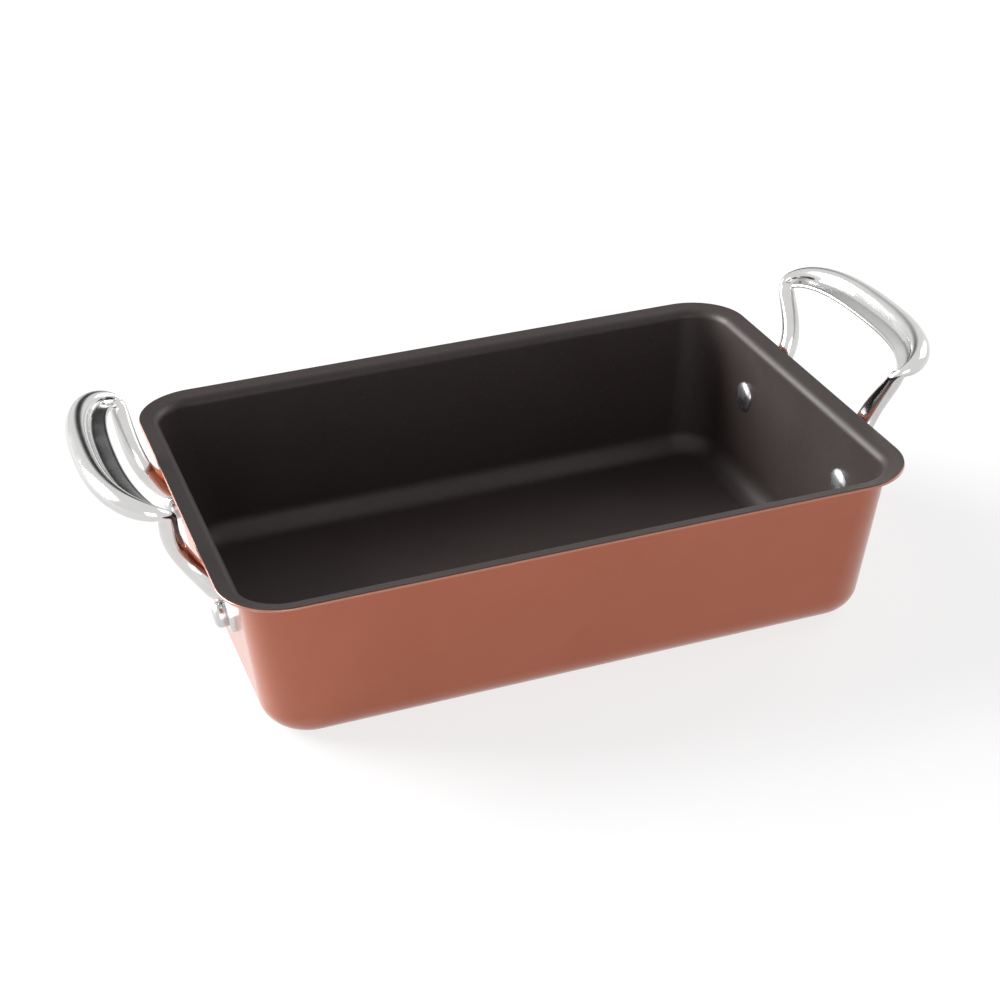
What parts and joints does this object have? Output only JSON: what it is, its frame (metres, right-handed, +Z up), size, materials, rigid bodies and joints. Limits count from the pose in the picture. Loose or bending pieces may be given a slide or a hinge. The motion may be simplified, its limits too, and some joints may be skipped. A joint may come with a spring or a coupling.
{
  "type": "baking dish",
  "caption": "Rounded rectangular roasting and baking pan with leaning walls, turned-out rim, dark lining and riveted loop handles at its ends.",
  "frame": {"origin": "centre of the outline at the underside of the base", "axes": "+X along the pan's long side toward the right handle, +Y across the pan away from the viewer, +Z up"},
  "size_m": [0.4422, 0.2446, 0.1251],
  "materials": {
    "copper_paint": "metallic copper paint, soft gloss",
    "nonstick_coating": "satin dark nonstick coating",
    "handle_metal": "polished casting",
    "rivet_metal": "bright satin"
  },
  "bodies": {
    "root": {"pan_shell": "copper_paint", "nonstick_lining": "nonstick_coating", "handle_left": "handle_metal", "handle_right": "handle_metal", "rivet_left_front": "rivet_metal", "rivet_left_rear": "rivet_metal", "rivet_right_front": "rivet_metal", "rivet_right_rear": "rivet_metal"}
  },
  "joints": []
}
